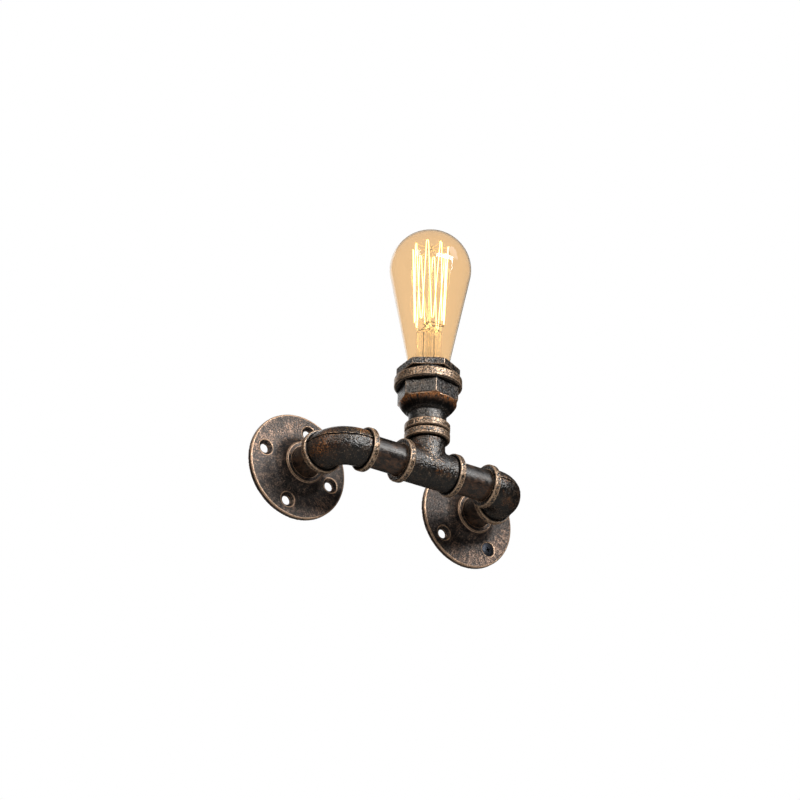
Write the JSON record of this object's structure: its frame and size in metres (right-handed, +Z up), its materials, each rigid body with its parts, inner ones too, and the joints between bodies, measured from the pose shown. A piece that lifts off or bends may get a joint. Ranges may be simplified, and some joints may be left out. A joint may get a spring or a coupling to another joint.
{
  "type": "pipe wall light",
  "caption": "Wall light made of black bronzed pipe fittings between two wall flanges, with an upright bare filament bulb on the tee.",
  "frame": {"origin": "middle of the left wall flange's back face, on the wall", "axes": "+X along the wall towards the right flange, +Y into the wall, +Z up along the bulb"},
  "size_m": [0.242, 0.092, 0.2439],
  "materials": {
    "bronzed_casting": "near-black bronzed paint with coppery rubbed edges",
    "blackened_pipe": "satin black with worn brown patches",
    "porcelain": "white unglazed porcelain",
    "brass": "plain rolled brass",
    "plated_steel": "zinc plated",
    "brown_sleeve": "brown insulation",
    "blue_sleeve": "blue insulation",
    "green_yellow_sleeve": "green and yellow insulation",
    "black_glass": "black glass insulator",
    "solder": "dull solder",
    "amber_glass": "clear amber glass",
    "clear_glass": "clear glass",
    "support_wire": "bare wire",
    "filament": "glowing carbon filament"
  },
  "bodies": {
    "fixture": {"left_flange": "bronzed_casting", "left_wall_nipple": "blackened_pipe", "left_elbow": "bronzed_casting", "left_run_nipple": "blackened_pipe", "tee": "bronzed_casting", "right_run_nipple": "blackened_pipe", "right_elbow": "bronzed_casting", "right_wall_nipple": "blackened_pipe", "right_flange": "bronzed_casting", "riser_nipple": "blackened_pipe", "bell_reducer": "bronzed_casting", "hex_bushing": "bronzed_casting", "lampholder_body": "porcelain", "lampholder_screw_shell": "brass", "live_terminal": "brass", "neutral_terminal": "brass", "terminal_screws": "plated_steel", "contact_rivets": "brass", "earth_screw": "plated_steel", "earth_tag": "plated_steel", "live_lead": "brown_sleeve", "neutral_lead": "blue_sleeve", "earth_lead": "green_yellow_sleeve", "lead_ferrules": "plated_steel"},
    "contact": {"centre_contact": "brass"},
    "bulb_foot": {"bulb_insulator": "black_glass", "bulb_tip": "solder"},
    "bulb": {"bulb_screw_cap": "brass", "bulb_glass": "amber_glass", "bulb_stem": "clear_glass", "upper_filament_hooks": "support_wire", "lower_filament_hooks": "support_wire", "lead_in_wires": "support_wire", "filament": "filament"}
  },
  "joints": [
    {"name": "bulb_lift", "type": "slide", "parent": "fixture", "child": "bulb_foot", "axis": [0, 0, 1], "range_m": [0, 0.0146]},
    {"name": "bulb_turn", "type": "hinge", "parent": "bulb_foot", "child": "bulb", "pos_m": [0.079, -0.06, 0.0734], "axis": [0, 0, 1], "range_deg": [0, 1440]},
    {"name": "contact_press", "type": "hinge", "parent": "fixture", "child": "contact", "pos_m": [0.0882, -0.06, 0.0577], "axis": [0, 1, 0], "range_deg": [-5, 0], "stiffness_Nm_per_rad": 0.2, "springref_deg": 2.86}
  ],
  "couplings": [
    {"joint": "bulb_lift", "follows": "bulb_turn", "m_per_rad": 0.00057757}
  ]
}
